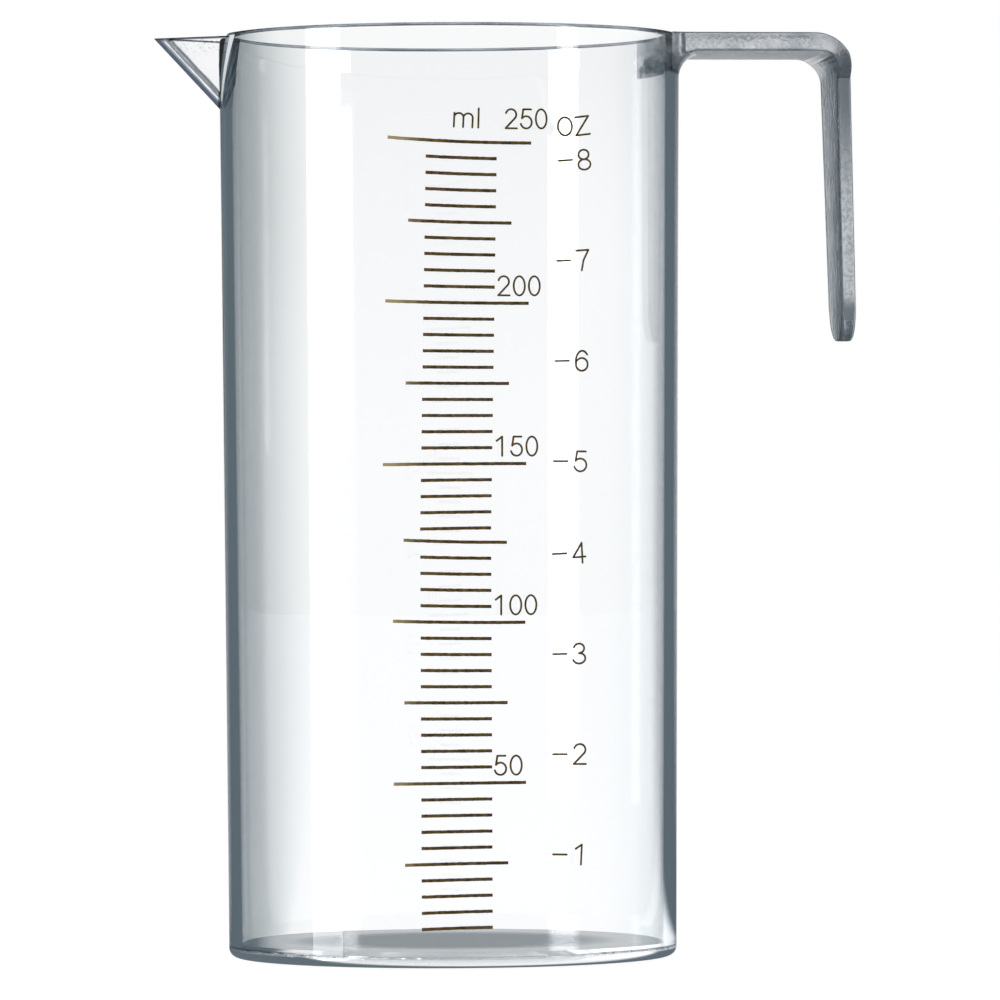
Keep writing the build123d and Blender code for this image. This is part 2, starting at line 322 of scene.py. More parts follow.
def grow(name, group, **values):
    """Plain mesh that a Geometry Nodes tree makes from its named inputs."""
    grower = new_object(name + "_grower", bpy.data.meshes.new(name + "_grower"))
    modifier = grower.modifiers.new("Nodes", "NODES")
    modifier.node_group = group
    sockets = {item.name: item.identifier for item in group.interface.items_tree
               if item.item_type == "SOCKET" and item.in_out == "INPUT"}
    for label, value in values.items():
        modifier[sockets[label.replace("_", " ")]] = value
    grower.update_tag()
    graph = bpy.context.evaluated_depsgraph_get()
    graph.update()
    mesh = bpy.data.meshes.new_from_object(grower.evaluated_get(graph))
    mesh.name = name
    grower.modifiers.remove(modifier)
    bpy.data.objects.remove(grower)
    mesh.materials.clear()
    mesh.materials.append(values["Material"])
    mesh.polygons.foreach_set("material_index", [0] * len(mesh.polygons))
    return mesh


def new_object(name, data):
    """Object at the origin, linked to the scene."""
    made = bpy.data.objects.new(name, data)
    bpy.context.scene.collection.objects.link(made)
    return made


def tidy(mesh, sharp_angle):
    """Merges doubles and leaves only edges past an angle sharp."""
    shape = bmesh.new()
    shape.from_mesh(mesh)
    bmesh.ops.remove_doubles(shape, verts=shape.verts, dist=merge_distance)
    bmesh.ops.recalc_face_normals(shape, faces=shape.faces)
    for face in shape.faces:
        face.smooth = True
    for edge in shape.edges:
        edge.smooth = not edge.is_manifold or edge.calc_face_angle(0) < sharp_angle
    shape.to_mesh(mesh)
    shape.free()
    return mesh


def settle(piece, node):
    """Lets a finished piece ride on the cup and stand for its CAD node."""
    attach(piece, "root")
    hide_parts(node)


def rounded_outline(corners, steps=10, support=0.0003):
    """Closed outline through (across, up, radius) corners, with a support point beside each arc."""
    points = []
    count = len(corners)
    for index, (across, up, radius) in enumerate(corners):
        here = Vector((across, up))
        back = (Vector(corners[index - 1][:2]) - here).normalized()
        on = (Vector(corners[(index + 1) % count][:2]) - here).normalized()
        if radius == 0:
            points += [here + back * support, here, here + on * support]
            continue
        half = back.angle(on) / 2
        reach = radius / math.tan(half)
        middle = here + (back + on).normalized() * radius / math.sin(half)
        start = here + back * reach - middle
        sweep = back.angle_signed(on)
        turn = (math.pi - abs(sweep)) * (1 if sweep > 0 else -1)
        points.append(here + back * (reach + support))
        for step in range(steps + 1):
            arm = start.copy()
            arm.rotate(Matrix.Rotation(turn * step / steps, 2))
            points.append(middle + arm)
        points.append(here + on * (reach + support))
    return points


def outline_curve(name, points):
    """Closed curve through (across, up) points, upside down as Curve to Mesh takes a profile."""
    curve = bpy.data.curves.new(name, "CURVE")
    curve.dimensions = "3D"
    spline = curve.splines.new("POLY")
    spline.points.add(len(points) - 1)
    for place, point in zip(spline.points, points):
        place.co = (point.x, -point.y, 0, 1)
    spline.use_cyclic_u = True
    return new_object(name, curve)


def turned_tree(notched):
    """Geometry Nodes tree that turns an outline round the Z axis and cuts a notch into it."""
    group, tree, given = geometry_tree("Turned piece", {
        "Outline": "Object", "Notch": "Object", "Radius": "Float", "Steps": "Int",
        "Material": "Material"})
    outline = tree.add("GeometryNodeObjectInfo", {"Object": given["Outline"]})
    path = tree.add("GeometryNodeCurvePrimitiveCircle", {
        "Resolution": given["Steps"], "Radius": given["Radius"]})
    upright = tree.add("GeometryNodeSetCurveNormal", {"Curve": path.outputs[0]}, mode="Z_UP")
    turned = tree.add("GeometryNodeCurveToMesh", {
        "Curve": upright.outputs[0], "Profile Curve": outline.outputs["Geometry"]})
    merged = tree.add("GeometryNodeMergeByDistance", {
        "Geometry": turned.outputs[0], "Distance": seam_distance})
    shape = tree.add("GeometryNodeFlipFaces", {"Mesh": merged.outputs[0]}).outputs[0]
    if notched:
        notch = tree.add("GeometryNodeObjectInfo", {"Object": given["Notch"]})
        cut = tree.add("GeometryNodeMeshBoolean", {
            "Mesh 1": shape, "Mesh 2": notch.outputs["Geometry"]},
            operation="DIFFERENCE", solver="EXACT")
        shape = cut.outputs["Mesh"]
    close_tree(tree, shape, given["Material"])
    return group


def turned_mesh(name, corners, steps, material, notch=None):
    """Mesh of an outline of (radius, height, edge radius) corners turned round the Z axis."""
    path_radius = max(corner[0] for corner in corners)
    shifted = [(across - path_radius, up, radius) for across, up, radius in corners]
    curve = outline_curve(name + "_outline", rounded_outline(shifted))
    inputs = {"Outline": curve, "Radius": path_radius, "Steps": steps, "Material": material}
    if notch:
        inputs["Notch"] = notch
    mesh = grow(name, turned_tree(bool(notch)), **inputs)
    bpy.data.objects.remove(curve)
    return mesh


def printed_line_tree():
    """Geometry Nodes tree of one kind of printed line, wrapped on the wall in two passes."""
    group, tree, given = geometry_tree("Printed lines", {
        "Kind": "Int", "Offsets": "Vector", "Lengths": "Vector", "Width": "Float", "Film": "Float",
        "Bond": "Float", "Top Line": "Float", "Bottom Line": "Float", "Pitch": "Float",
        "Lean": "Float", "Bow Centre": "Float", "Bow Reach": "Float", "Upper Bows": "Vector",
        "Lower Bows": "Vector", "Foot Radius": "Float", "Rim Radius": "Float",
        "Cup Height": "Float", "Turn": "Float", "Raggedness": "Float", "Seed": "Float",
        "Thin From": "Float", "Thin To": "Float", "Material": "Material"})
    math_node = tree.math

    def choose(test, low_value, high_value, kind="FLOAT"):
        return tree.add("GeometryNodeSwitch", {
            "Switch": test, "False": low_value, "True": high_value}, input_type=kind).outputs[0]

    def store(geometry, name, value, kind="FLOAT"):
        return tree.add("GeometryNodeStoreNamedAttribute", {
            "Geometry": geometry, "Name": name, "Value": value},
            data_type=kind, domain="POINT").outputs[0]

    # One point for each line of the scale, kept where the line is of this kind
    points = tree.add("GeometryNodeMeshLine", {"Count": line_count, "Offset": (0, 0, 0)})
    number = math_node("ADD", tree.add("GeometryNodeInputIndex").outputs[0], 1.0)
    upper = math_node("GREATER_THAN", number, lines_per_pass + 0.5)
    is_middle = math_node("LESS_THAN", math_node("MODULO", number, lines_to_middle), 0.5)
    is_long = math_node("LESS_THAN", math_node("MODULO", number, lines_to_long), 0.5)
    kind = math_node("ADD", is_middle, is_long)
    off_kind = math_node("ABSOLUTE", math_node("SUBTRACT", kind, given["Kind"]))
    wrong = math_node("GREATER_THAN", off_kind, 0.5)
    above_foot = math_node("MULTIPLY", math_node("SUBTRACT", number, 1.0), given["Pitch"])
    below_top = math_node("MULTIPLY", math_node("SUBTRACT", line_count, number), given["Pitch"])
    height = choose(upper, math_node("ADD", given["Bottom Line"], above_foot),
                    math_node("SUBTRACT", given["Top Line"], below_top))
    offsets = tree.parts(given["Offsets"])
    lengths = tree.parts(given["Lengths"])
    length = choose(upper, lengths["X"], lengths["Y"])
    middle = math_node("ADD", choose(upper, offsets["X"], offsets["Y"]),
                       math_node("MULTIPLY", length, 0.5))
    place = tree.add("ShaderNodeCombineXYZ", {"X": middle, "Z": height})
    size = tree.add("ShaderNodeCombineXYZ", {"X": length, "Y": 1.0, "Z": given["Width"]})
    placed = tree.add("GeometryNodeSetPosition", {
        "Geometry": points.outputs[0], "Position": place.outputs[0]})
    sized = store(placed.outputs[0], "size", size.outputs[0], "FLOAT_VECTOR")
    kept = tree.add("GeometryNodeDeleteGeometry", {"Geometry": sized, "Selection": wrong})

    # A flat bar on each point, with its share across the line kept for its ragged edges
    bar = tree.add("GeometryNodeMeshCube", {
        "Size": (1, 1, 1), "Vertices X": 61, "Vertices Y": 2, "Vertices Z": 3})
    spot = tree.add("GeometryNodeInputPosition").outputs[0]
    spot_parts = tree.parts(spot)
    marked = store(bar.outputs["Mesh"], "across", spot_parts["Z"])
    own_size = tree.add("GeometryNodeInputNamedAttribute", {"Name": "size"},
                        data_type="FLOAT_VECTOR")
    bars = tree.add("GeometryNodeInstanceOnPoints", {
        "Points": kept.outputs[0], "Instance": marked, "Scale": own_size.outputs[0]})
    real = tree.add("GeometryNodeRealizeInstances", {"Geometry": bars.outputs[0]})

    # The ink wears thin at its far left, and its edges wander
    worn = tree.span(spot_parts["X"], given["Thin From"], given["Thin To"], smooth=True)
    real = store(real.outputs[0], "worn", worn)
    across = tree.add("GeometryNodeInputNamedAttribute", {"Name": "across"}, data_type="FLOAT")
    wander = tree.add("ShaderNodeTexNoise", {
        "Vector": spot, "W": given["Seed"], "Scale": 1500.0, "Detail": 3.0, "Roughness": 0.6},
        noise_dimensions="4D").outputs["Fac"]
    spread = math_node("MULTIPLY", math_node("SUBTRACT", wander, 0.5), given["Raggedness"])
    edge = math_node("MULTIPLY", across.outputs[0], math_node("MULTIPLY", spread, 2.0))
    height = math_node("ADD", spot_parts["Z"], edge)

    # Each pass of the sheet bows by its own amounts, and the upper one leans
    pass_height = math_node("MULTIPLY", given["Pitch"], lines_per_pass - 1)
    upper_foot = math_node("SUBTRACT", given["Top Line"], pass_height)
    lower_top = math_node("ADD", given["Bottom Line"], pass_height)
    boundary = math_node("MULTIPLY", math_node("ADD", upper_foot, lower_top), 0.5)
    in_upper = math_node("GREATER_THAN", spot_parts["Z"], boundary)
    foot = choose(in_upper, given["Bottom Line"], upper_foot)
    bows = tree.parts(choose(in_upper, given["Lower Bows"], given["Upper Bows"], "VECTOR"))
    share = math_node("DIVIDE", math_node("SUBTRACT", spot_parts["Z"], foot), pass_height)
    bow_range = math_node("SUBTRACT", bows["Y"], bows["X"])
    bow = math_node("MULTIPLY_ADD", bow_range, share, bows["X"])
    lean = math_node("MULTIPLY", math_node("MULTIPLY", given["Lean"], in_upper),
                     math_node("MAXIMUM", share, 0.0))
    from_centre = math_node("SUBTRACT", spot_parts["X"], given["Bow Centre"])
    away = math_node("DIVIDE", from_centre, given["Bow Reach"])
    height = math_node("MULTIPLY_ADD", bow, math_node("MULTIPLY", away, away), height)
    across_place = math_node("ADD", spot_parts["X"], lean)

    # The sheet is wrapped on the tapered wall and turned with it
    widening = math_node("SUBTRACT", given["Rim Radius"], given["Foot Radius"])
    taper = math_node("DIVIDE", widening, given["Cup Height"])
    wall = math_node("MULTIPLY_ADD", taper, height, given["Foot Radius"])
    bond = math_node("MULTIPLY", given["Bond"], -1.0)
    radius = math_node("ADD", wall, tree.span(spot_parts["Y"], -0.5, 0.5, given["Film"], bond))
    front = math_node("SQRT", math_node("SUBTRACT", math_node("MULTIPLY", radius, radius),
                                        math_node("MULTIPLY", across_place, across_place)))
    laid = tree.add("ShaderNodeCombineXYZ", {
        "X": across_place, "Y": math_node("MULTIPLY", front, -1.0), "Z": height})
    turned = tree.add("ShaderNodeVectorRotate", {
        "Vector": laid.outputs[0], "Angle": given["Turn"]}, rotation_type="Z_AXIS")
    wrapped = tree.add("GeometryNodeSetPosition", {
        "Geometry": real, "Position": turned.outputs[0]})
    close_tree(tree, wrapped.outputs[0], given["Material"])
    return group


def spout_edge():
    """Foot and direction of the spout's leading edge, and the way inwards from it."""
    taper = bpy.context.scene.cup_sizes.taper
    wall = base_high.x + (spout_low.z - base_high.z) * taper
    foot = Vector((-wall, 0, spout_low.z))
    along = (Vector((spout_low.x, 0, spout_high.z)) - foot).normalized()
    return foot, along, along.cross(Vector((0, 1, 0))) * -1


# Materials


def new_material(name):
    """Material without nodes, and a Tree to fill it with."""
    made = bpy.data.materials.new(name)
    made.use_nodes = True
    made.node_tree.nodes.clear()
    return made, Tree(made.node_tree.nodes, made.node_tree.links)


def grain_group():
    """Shader node group of a fine grain, which most of the finishes share."""
    group = bpy.data.node_groups.get("Grain")
    if group:
        return group
    group = bpy.data.node_groups.new("Grain", "ShaderNodeTree")
    for label, kind in {
            "Vector": "Vector", "Scale": "Float", "Detail": "Float", "Roughness": "Float",
            "Low": "Float", "High": "Float", "Dark": "Color", "Pale": "Color"}.items():
        group.interface.new_socket(label, in_out="INPUT", socket_type=f"NodeSocket{kind}")
    for label, kind in {"Color": "Color", "Height": "Float"}.items():
        group.interface.new_socket(label, in_out="OUTPUT", socket_type=f"NodeSocket{kind}")
    tree = Tree(group.nodes, group.links)
    given = tree.add("NodeGroupInput").outputs
    height = tree.add("ShaderNodeTexNoise", {
        name: given[name] for name in ("Vector", "Scale", "Detail", "Roughness")}).outputs["Fac"]
    share = tree.add("ShaderNodeMapRange", {
        "Value": height, "From Min": given["Low"], "From Max": given["High"]}, clamp=True)
    color = tree.mix(share.outputs[0], given["Dark"], given["Pale"])
    tree.add("NodeGroupOutput", {"Color": color, "Height": height})
    return group


def polished_plastic():
    """Clear polished plastic, darkened towards slate by painted shade where it is seen edge on."""
    made, tree = new_material("polished_plastic")
    colors = bpy.context.scene.finish_colors
    clear = (*colors.clear, 1)
    edge = (*colors.clear_edge_shade, 1)
    # Painted shade: the ramp darkens the plastic where it is seen edge on
    facing = tree.add("ShaderNodeLayerWeight", {"Blend": 0.5}).outputs["Facing"]
    color = tree.ramp(facing, (0.0, clear), (1.0, edge), (0.3, clear),
                      (0.5, (0.93, 0.95, 0.96, 1)), (0.62, (0.8, 0.84, 0.86, 1)), (0.8, edge))
    tree.surface(Base_Color=color, Roughness=0.0, IOR=1.5, Transmission_Weight=1.0)
    return made


def satin_floor():
    """Clear plastic of the cup's floor, faintly matt in the middle, greyed there by painted shade
    that fades out towards its edge.
    """
    made, tree = new_material("satin_floor")
    place = tree.object_place()
    cloud = tree.grain(place, 300.0, 4.0, 0.65, dark=(0.78, 0.82, 0.84), pale=(0.97, 0.98, 0.985))
    parts = tree.parts(place)
    flat = tree.add("ShaderNodeCombineXYZ", {"X": parts["X"], "Y": parts["Y"]}).outputs[0]
    radius = tree.vector_math("LENGTH", flat)["Value"]
    # Painted shade: the grey grain fills the middle and fades to clear towards the edge
    shaded_radius = base_high.x * 0.45
    clear_radius = base_high.x * 0.92
    outwards = tree.span(radius, shaded_radius, clear_radius, smooth=True)
    tree.surface(
        Base_Color=tree.mix(outwards, cloud["Color"], (0.99, 0.99, 0.99, 1)),
        Roughness=tree.span(outwards, 0.0, 1.0, 0.3, 0.05), IOR=1.3, Transmission_Weight=1.0)
    return made


def pressed_plastic():
    """Thin clear plastic of the spout, with lines of painted shade and painted highlight along its
    leading edge, and painted shade along its top edge.
    """
    made, tree = new_material("pressed_plastic")
    wander = 0.00025
    painted_line_reach = 0.003
    lip_shade_line = (0.0003, 0.0001)
    speck_reach = (0.003, 0.0004)
    place = tree.object_place()
    foot, along, inwards = spout_edge()
    from_foot = tree.vector_math("SUBTRACT", place, foot)[0]
    inside = tree.vector_math("DOT_PRODUCT", from_foot, inwards)["Value"]
    wobble = tree.grain(place, 500.0, 3.0, 0.6)["Height"]
    distance = tree.math("MULTIPLY_ADD", tree.math("SUBTRACT", wobble, 0.5), wander, inside)
    # Painted shade and painted highlight: dark and bright lines by the distance from the leading
    # edge
    lines = tree.ramp(
        tree.span(distance, 0.0, painted_line_reach),
        (0.0, (0.09, 0.11, 0.15, 1)), (1.0, (0.96, 0.97, 0.975, 1)),
        (0.19, (0.11, 0.14, 0.19, 1)), (0.23, (0.9, 0.93, 0.96, 1)),
        (0.33, (0.94, 0.95, 0.97, 1)), (0.37, (0.06, 0.07, 0.09, 1)),
        (0.46, (0.1, 0.11, 0.13, 1)), (0.52, (0.94, 0.95, 0.96, 1)))
    mottle = tree.grain(place, 1500.0, 4.0, 0.7)["Height"]
    height = tree.parts(place)["Z"]
    near_lip = tree.span(
        height, spout_high.z - speck_reach[0], spout_high.z - speck_reach[1], smooth=True)
    speck = tree.math("MULTIPLY", tree.span(mottle, 0.56, 0.66, smooth=True), near_lip)
    specked = tree.mix(tree.math("MULTIPLY", speck, 0.7), lines, (0.35, 0.38, 0.4, 1))
    # Painted shade: a dark line along the spout's top edge
    lip_shade = tree.span(height, spout_high.z - lip_shade_line[0], spout_high.z - lip_shade_line[1], smooth=True)
    bump = tree.add("ShaderNodeBump", {"Strength": 0.25, "Distance": 0.0001, "Height": mottle})
    tree.surface(
        Base_Color=tree.mix(lip_shade, specked, (0.06, 0.07, 0.09, 1)), Roughness=0.05, IOR=1.04,
        Transmission_Weight=1.0, Normal=bump.outputs[0])
    return made


def rippled_plastic():
    """Clear but cloudy plastic of the handle, with fine ripples and grains."""
    made, tree = new_material("rippled_plastic")
    colors = bpy.context.scene.finish_colors
    place = tree.object_place()
    ripple = tree.grain(place, 900.0, 3.0, 0.6)["Height"]
    bump = tree.add("ShaderNodeBump", {"Strength": 0.4, "Distance": 0.0002, "Height": ripple})
    cloud = tree.grain(place, 220.0, 4.0, 0.6)["Height"]
    speck = tree.grain(place, 2600.0, 2.0, 0.5)["Height"]
    mottle = tree.math("ADD", tree.math("MULTIPLY", cloud, 0.6), tree.math("MULTIPLY", speck, 0.4))
    color = tree.ramp(mottle, (0.38, (*colors.handle_dark, 1)), (0.62, (*colors.handle_pale, 1)))
    tree.surface(Base_Color=color, Roughness=0.14, IOR=1.5, Transmission_Weight=1.0,
                 Normal=bump.outputs[0])
    return made


def grain_and_painted_highlight():
    """Pale plastic of the handle's narrow faces, with a fine grain, a painted highlight, and
    painted shade in the bend and at the leg's end.
    """
    made, tree = new_material("grain_and_painted_highlight")
    leg_top = bpy.context.scene.cup_sizes.leg_top
    bend_shade = 0.018
    end_shade = (0.004, 0.0065)
    arm_depth = 0.004
    place = tree.object_place()
    grain = tree.grain(place, 2200.0, 3.0, 0.6, 0.35, 0.6, (0.5, 0.53, 0.55), (0.93, 0.94, 0.95))
    height = tree.parts(place)["Z"]
    downwards = tree.span(height, leg_top, leg_top - bend_shade, smooth=True)
    above_end = tree.span(
        height, handle_low.z + end_shade[0], handle_low.z + end_shade[1], smooth=True)
    on_arm = tree.math("GREATER_THAN", height, cad_high.z - arm_depth)
    # Painted highlight down the leg and on the arm, painted shade in the bend and at the leg's end
    painted_lit = tree.math("MAXIMUM", tree.math("MULTIPLY", downwards, above_end), on_arm)
    bump = tree.add("ShaderNodeBump", {
        "Strength": 0.3, "Distance": 0.0001, "Height": grain["Height"]})
    tree.surface(
        Base_Color=tree.mix(painted_lit, (0.2, 0.225, 0.25, 1), grain["Color"]), Roughness=0.4, IOR=1.5,
        Transmission_Weight=0.35, Normal=bump.outputs[0])
    return made


def brown_ink():
    """Dark brown printed ink, golden where the pad left it thin."""
    made, tree = new_material("brown_ink")
    colors = bpy.context.scene.finish_colors
    grain = tree.grain(tree.object_place(), 1400.0, 4.0, 0.7, 0.38, 0.68,
                       colors.ink, colors.ink_thin)
    worn = tree.add("ShaderNodeAttribute", attribute_name="worn").outputs["Fac"]
    thin = tree.math("MULTIPLY", worn, tree.span(grain["Height"], 0.3, 0.7, 0.7, 1.0))
    color = tree.mix(thin, grain["Color"], (*colors.ink_worn, 1))
    tree.surface(Base_Color=color, Roughness=0.9, Specular_IOR_Level=0.15)
    return made


def slate_edge():
    """Clear plastic of a thick rounded edge, painted slate blue as painted shade for the light
    trapped in it.
    """
    made, tree = new_material("slate_edge")
    colors = bpy.context.scene.finish_colors
    cloud = tree.grain(tree.object_place(), 130.0, 3.0, 0.6, 0.35, 0.7,
                       colors.slate_dark, colors.slate_pale)
    tree.surface(Base_Color=cloud["Color"], Roughness=0.08, IOR=1.5, Transmission_Weight=1.0)
    return made


finish_makers = {
    "polished": polished_plastic, "rippled": rippled_plastic, "pressed": pressed_plastic,
    "satin": satin_floor, "slate": slate_edge, "ink": brown_ink, "grain_highlight": grain_and_painted_highlight}
finishes = {}


def finish(name):
    """Finish by name, made when it is first asked for."""
    if name not in finishes:
        finishes[name] = finish_makers[name]()
    return finishes[name]


def cad_copy(node):
    """Merged and smoothed copy of a CAD node's mesh."""
    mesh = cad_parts[node].data.copy()
    mesh.materials.clear()
    return tidy(mesh, clear_sharp_angle)


class MakeBarrel(bpy.types.Operator):
    """Turn the clear wall and cut the notch in its rim"""

    bl_idname = "mixing_cup.barrel"
    bl_label = "Barrel"

    def execute(self, context):
        sizes = context.scene.cup_sizes
        rim = barrel_high.x
        low = barrel_low.z
        foot = base_high.x
        corners = [
            (foot - sizes.wall, low - sizes.bond, 0),
            (foot, low - sizes.bond, 0),
            (rim, barrel_high.z, sizes.rim_edge),
            (rim - sizes.wall, barrel_high.z, sizes.rim_edge),
        ]
        notch = self.notch(sizes)
        mesh = turned_mesh("cup_barrel", corners, sizes.steps, finish("polished"), notch)
        bpy.data.objects.remove(notch)
        piece = new_object("cup_barrel", tidy(mesh, clear_sharp_angle))
        # The rim's faces take the slate finish, painted shade of the dark line along the rim
        mesh.materials.append(finish("slate"))
        rim_foot = barrel_high.z - sizes.rim_edge * 1.1
        for face in mesh.polygons:
            if face.center.z > rim_foot:
                face.material_index = 1
        settle(piece, "barrel")
        return {"FINISHED"}

    def notch(self, sizes):
        """Wedge that is cut out of the wall, along the leading edge of the spout."""
        edge_radius = 0.0004
        reach = 0.02
        ends = (-0.02, 0.03)
        foot, along, inwards = spout_edge()
        half_width = spout_high.y
        rim = Vector((-math.sqrt(barrel_high.x ** 2 - half_width ** 2), half_width, spout_high.z))
        half_angle = math.atan2(half_width, (rim - foot).dot(inwards))
        depth = sizes.spout_wall / math.sin(half_angle)
        side = reach * math.tan(half_angle)
        outline = rounded_outline([(0, 0, edge_radius), (side, reach, 0), (-side, reach, 0)])
        shape = bmesh.new()
        middle = foot + inwards * depth
        loops = []
        for shift in ends:
            centre = middle + along * shift
            loops.append([
                shape.verts.new(centre + inwards * point.y + Vector((0, point.x, 0)))
                for point in outline])
        count = len(outline)
        for index in range(count):
            on = (index + 1) % count
            shape.faces.new((loops[0][index], loops[0][on], loops[1][on], loops[1][index]))
        shape.faces.new(loops[0])
        shape.faces.new(loops[1])
        bmesh.ops.recalc_face_normals(shape, faces=shape.faces)
        mesh = bpy.data.meshes.new("notch")
        shape.to_mesh(mesh)
        shape.free()
        return new_object("notch", mesh)


class MakeBase(bpy.types.Operator):
    """Turn the clear disc that closes the barrel"""

    bl_idname = "mixing_cup.base"
    bl_label = "Base disc"

    def execute(self, context):
        sizes = context.scene.cup_sizes
        flange = barrel_low.z
        outside = base_high.x
        plug = outside - sizes.wall + sizes.bond
        corners = [
            (0, 0, 0),
            (outside, 0, sizes.foot_edge),
            (outside, flange, 0),
            (plug, flange, 0),
            (plug, base_high.z, 0),
            (0, base_high.z, 0),
        ]
        mesh = turned_mesh("cup_base", corners, sizes.steps, finish("polished"))
        piece = new_object("cup_base", tidy(mesh, clear_sharp_angle))
        mesh.materials.append(finish("satin"))
        for face in mesh.polygons:
            if face.center.z > base_high.z - face_margin:
                face.material_index = 1
        settle(piece, "base_disc")
        return {"FINISHED"}


class MakeSpout(bpy.types.Operator):
    """Make the pouring spout"""

    bl_idname = "mixing_cup.spout"
    bl_label = "Pouring spout"

    def execute(self, context):
        piece = new_object("cup_spout", cad_copy("pouring_spout"))
        piece.data.materials.append(finish("pressed"))
        settle(piece, "pouring_spout")
        return {"FINISHED"}


class MakeHandle(bpy.types.Operator):
    """Make the strap handle"""

    bl_idname = "mixing_cup.handle"
    bl_label = "Handle"

    def execute(self, context):
        piece = new_object("cup_handle", cad_copy("handle"))
        piece.data.materials.append(finish("rippled"))
        piece.data.materials.append(finish("grain_highlight"))
        leg_top = context.scene.cup_sizes.leg_top
        # Leg faces that face the front, and the arm's underside, take the finish with the painted
        # highlight and shade
        facing_front = -0.9
        facing_down = -0.95
        for face in piece.data.polygons:
            on_leg = face.normal.y < facing_front and face.center.z < leg_top
            under_arm = face.normal.z < facing_down and face.center.z > leg_top
            face.material_index = int(on_leg or under_arm)
        settle(piece, "handle")
        return {"FINISHED"}


class PrintScale(bpy.types.Operator):
    """Print the lines of the ml scale and ink the numerals"""

    bl_idname = "mixing_cup.print"
    bl_label = "Printed scale"

    def execute(self, context):
        sizes = context.scene.cup_sizes
        sheet = context.scene.print_sizes
        tree = printed_line_tree()
        for node, (kind, offsets, lengths) in line_kinds.items():
            mesh = grow(
                node, tree, Kind=kind, Offsets=(*offsets, 0), Lengths=(*lengths, 0),
                Width=sheet.width, Film=sheet.film, Bond=sizes.bond, Top_Line=sheet.top_line,
                Bottom_Line=sheet.bottom_line, Pitch=sheet.pitch, Lean=sheet.lean,
                Bow_Centre=sheet.bow_centre, Bow_Reach=sheet.bow_reach,
                Upper_Bows=(*sheet.upper_bows, 0), Lower_Bows=(*sheet.lower_bows, 0),
                Foot_Radius=barrel_high.x - sizes.taper * barrel_high.z,
                Rim_Radius=barrel_high.x, Cup_Height=barrel_high.z, Turn=sheet.turn,
                Raggedness=sheet.raggedness, Seed=first_seed + kind, Thin_From=sheet.worn_from,
                Thin_To=sheet.worn_to, Material=finish("ink"))
            if not mesh.polygons:
                raise RuntimeError(f"no lines were printed for {node}")
            piece = new_object("printed_" + node, tidy(mesh, print_sharp_angle))
            settle(piece, node)
        for name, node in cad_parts.items():
            if name.startswith(("ml_", "oz_")) and name not in line_kinds:
                node.data.materials.clear()
                node.data.materials.append(finish("ink"))
        return {"FINISHED"}


def add_area_light(name, azimuth, distance, height, size, power, color=(1, 1, 1)):
    """Area light that faces the cup's axis from an azimuth, where 0 is the -Y side."""
    lamp = bpy.data.lights.new(name, "AREA")
    lamp.shape = "RECTANGLE"
    lamp.size, lamp.size_y = size
    lamp.energy = power
    lamp.color = color
    made = new_object(name, lamp)
    made.visible_camera = False
    made.location = (math.sin(azimuth) * distance, -math.cos(azimuth) * distance, height)
    made.rotation_euler = (math.radians(90), 0, azimuth)


def studio_color(tree, look, direction, seen_color):
    """Colour of the studio in a direction, and how far it is seen straight or through the cup."""
    white = (1, 1, 1, 1)
    behind_cup = view_azimuth + math.pi
    left_of_cup = view_azimuth - math.pi / 2
    right_front = math.radians(20)
    right_side = math.radians(88)
    path = tree.add("ShaderNodeLightPath").outputs
    straight = tree.math("LESS_THAN", path["Glossy Depth"], 0.5)
    through = tree.math("MULTIPLY", path["Is Transmission Ray"], straight)
    seen = tree.math("MAXIMUM", path["Is Camera Ray"], through)
    up = tree.parts(direction)["Z"]

    def along(azimuth):
        way = (math.sin(azimuth), -math.cos(azimuth), 0)
        return tree.vector_math("DOT_PRODUCT", direction, way)["Value"]

    # The white backdrop behind the cup, and the pale front of the studio, low and to the right
    backdrop = tree.math("MULTIPLY", tree.span(along(behind_cup), 0.975, 0.995, smooth=True),
                         tree.span(up, 0.065, 0.03, 0.3, 1.0, smooth=True))
    front = tree.span(along(right_front), -0.35, 0.1, smooth=True)
    low = tree.span(up, 0.05, 0.018, 0.35, 1.0, smooth=True)
    side = tree.span(along(right_side), 0.75, 0.92, 0.0, 0.9, smooth=True)
    reflected = tree.mix(
        tree.math("MULTIPLY", front, low), (*look.surroundings, 1), (*look.front, 1))
    reflected = tree.mix(tree.math("MULTIPLY", side, low), reflected, (*look.side, 1))
    reflected = tree.mix(backdrop, reflected, (*look.background, 1))

    # A dark flag stands behind the cup on the left, just outside the picture
    greys = [(position, (level * 0.97, level, level, 1))
             for position, level in ((0.087, 0.85), (0.113, 0.7), (0.15, 0.6), (0.42, 0.58))]
    flag = tree.ramp(along(left_of_cup), (0.064, white), (0.5, white), *greys)
    behind = tree.span(along(behind_cup), 0.6, 0.8, smooth=True)
    not_camera = tree.math("SUBTRACT", 1.0, path["Is Camera Ray"])
    backing = tree.mix(tree.math("MULTIPLY", behind, not_camera), white, flag)
    seen_through = tree.mix(1.0, (*seen_color, 1), backing, blend="MULTIPLY")
    unseen = tree.mix(path["Is Diffuse Ray"], reflected, (*look.ambient, 1))
    return tree.mix(seen, unseen, seen_through), seen


